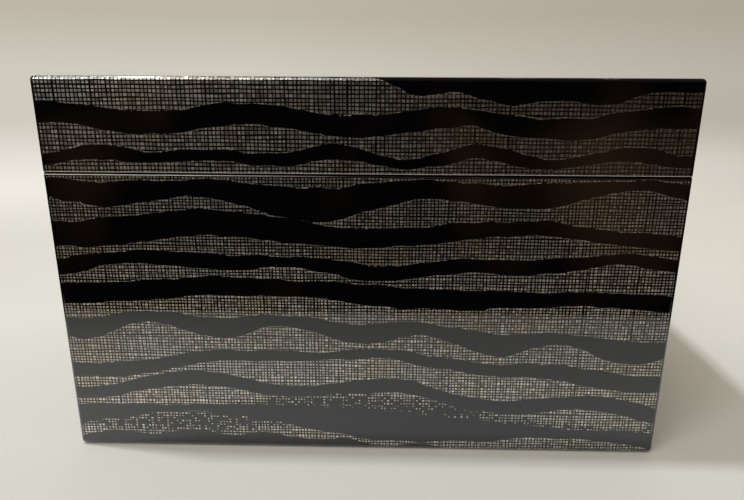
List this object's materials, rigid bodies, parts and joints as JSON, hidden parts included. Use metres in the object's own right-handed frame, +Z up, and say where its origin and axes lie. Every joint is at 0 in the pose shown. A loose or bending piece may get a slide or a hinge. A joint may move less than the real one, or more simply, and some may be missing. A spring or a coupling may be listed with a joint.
{
  "type": "tea utensil box",
  "caption": "Lacquered wooden box for tea utensils, jointed from boards under a cloth skin, with a flush lift-off lid over a raised lining and a hanging inner tray.",
  "frame": {"origin": "middle of the underside, on the surface that the box stands on", "axes": "+X along the width, to the right as seen from the front; -Y towards the front; +Z up, the way the lid lifts"},
  "size_m": [0.22, 0.155, 0.138],
  "materials": {
    "cloth_lacquer": "black and pewter-grey lacquer over coarse cloth, polished",
    "black_lacquer": "polished black lacquer",
    "tin": "tin rim, softly polished",
    "core_wood": "bare straight-grained softwood",
    "peg_wood": "bare hardwood pegs"
  },
  "bodies": {
    "body": {"body_cloth_skin": "cloth_lacquer", "bottom_board": "black_lacquer", "body_front_wall": "core_wood", "body_right_wall": "core_wood", "body_back_wall": "core_wood", "body_left_wall": "core_wood", "lining_front_strip": "black_lacquer", "lining_right_strip": "black_lacquer", "lining_back_strip": "black_lacquer", "lining_left_strip": "black_lacquer", "body_tin_rim": "tin", "bottom_peg_1": "peg_wood", "bottom_peg_2": "peg_wood", "bottom_peg_3": "peg_wood", "bottom_peg_4": "peg_wood", "bottom_peg_5": "peg_wood", "bottom_peg_6": "peg_wood", "bottom_peg_7": "peg_wood", "bottom_peg_8": "peg_wood"},
    "lid": {"lid_cloth_skin": "cloth_lacquer", "lid_top_board": "black_lacquer", "lid_front_wall": "black_lacquer", "lid_right_wall": "black_lacquer", "lid_back_wall": "black_lacquer", "lid_left_wall": "black_lacquer", "lid_tin_rim": "tin", "lid_peg_1": "peg_wood", "lid_peg_2": "peg_wood", "lid_peg_3": "peg_wood", "lid_peg_4": "peg_wood", "lid_peg_5": "peg_wood", "lid_peg_6": "peg_wood", "lid_peg_7": "peg_wood", "lid_peg_8": "peg_wood"},
    "tray": {"tray_front_wall": "black_lacquer", "tray_right_wall": "black_lacquer", "tray_back_wall": "black_lacquer", "tray_left_wall": "black_lacquer", "tray_floor": "black_lacquer", "tray_front_flange": "black_lacquer", "tray_right_flange": "black_lacquer", "tray_back_flange": "black_lacquer", "tray_left_flange": "black_lacquer"}
  },
  "joints": [
    {"name": "lift_lid", "type": "slide", "parent": "body", "child": "lid", "axis": [0, 0, 1], "range_m": [0, 0.12]},
    {"name": "lift_tray", "type": "slide", "parent": "body", "child": "tray", "axis": [0, 0, 1], "range_m": [0, 0.06]}
  ],
  "couplings": [
    {"joint": "lift_tray", "follows": "lift_lid", "ratio": 0.5}
  ]
}
